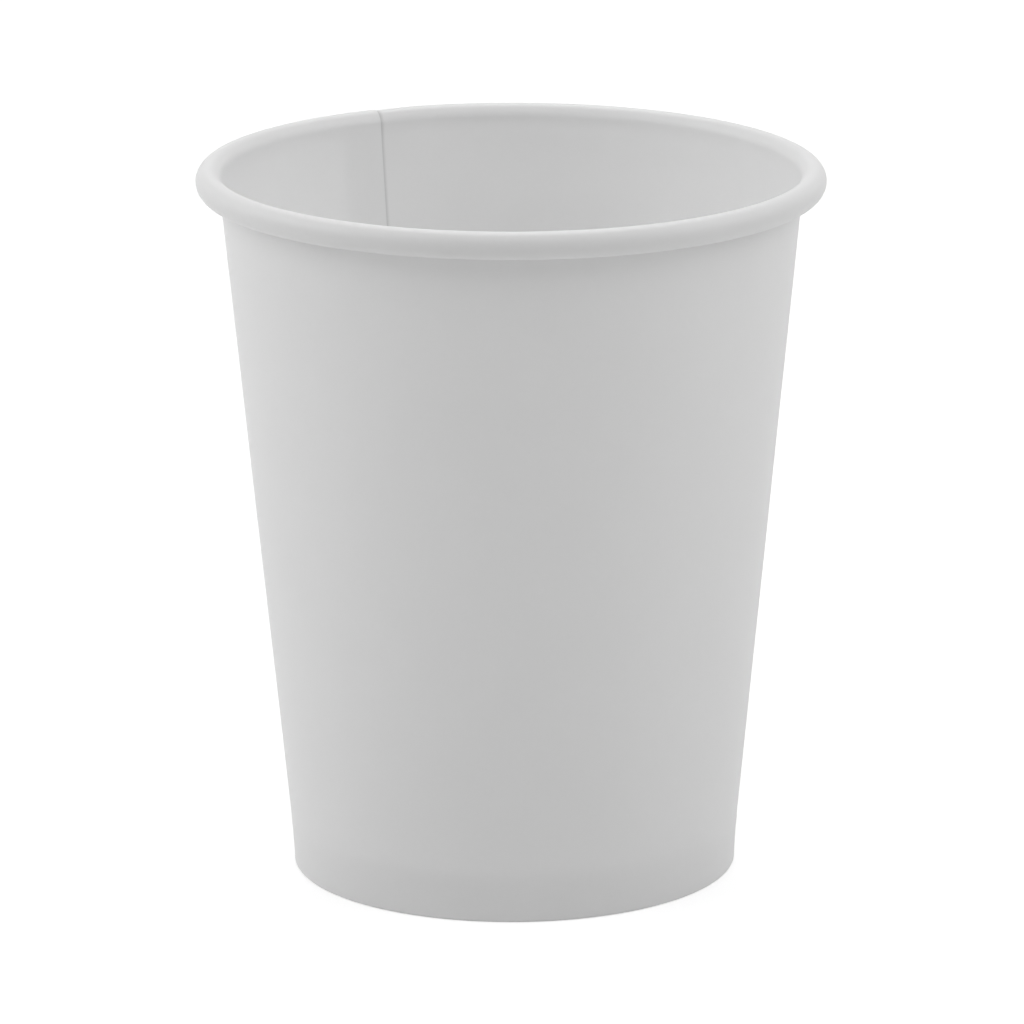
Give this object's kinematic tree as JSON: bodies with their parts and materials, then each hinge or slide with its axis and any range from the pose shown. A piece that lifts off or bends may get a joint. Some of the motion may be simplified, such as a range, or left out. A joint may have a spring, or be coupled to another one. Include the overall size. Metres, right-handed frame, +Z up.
{
  "type": "paper cup",
  "caption": "Plain white single-wall paper cup for hot drinks, with a rolled rim, a lapped side seam and a recessed bottom.",
  "frame": {"origin": "centre of the foot's circle, on the plane that the cup stands on", "axes": "+Z up the cup's axis to the mouth; the middle of the side seam's lap is 32 degrees from +Y towards -X"},
  "size_m": [0.08, 0.08, 0.0916],
  "materials": {
    "cup_board": "satin",
    "bottom_board": "satin"
  },
  "bodies": {
    "root": {"side_wall": "cup_board", "bottom_disc": "bottom_board"}
  },
  "joints": []
}
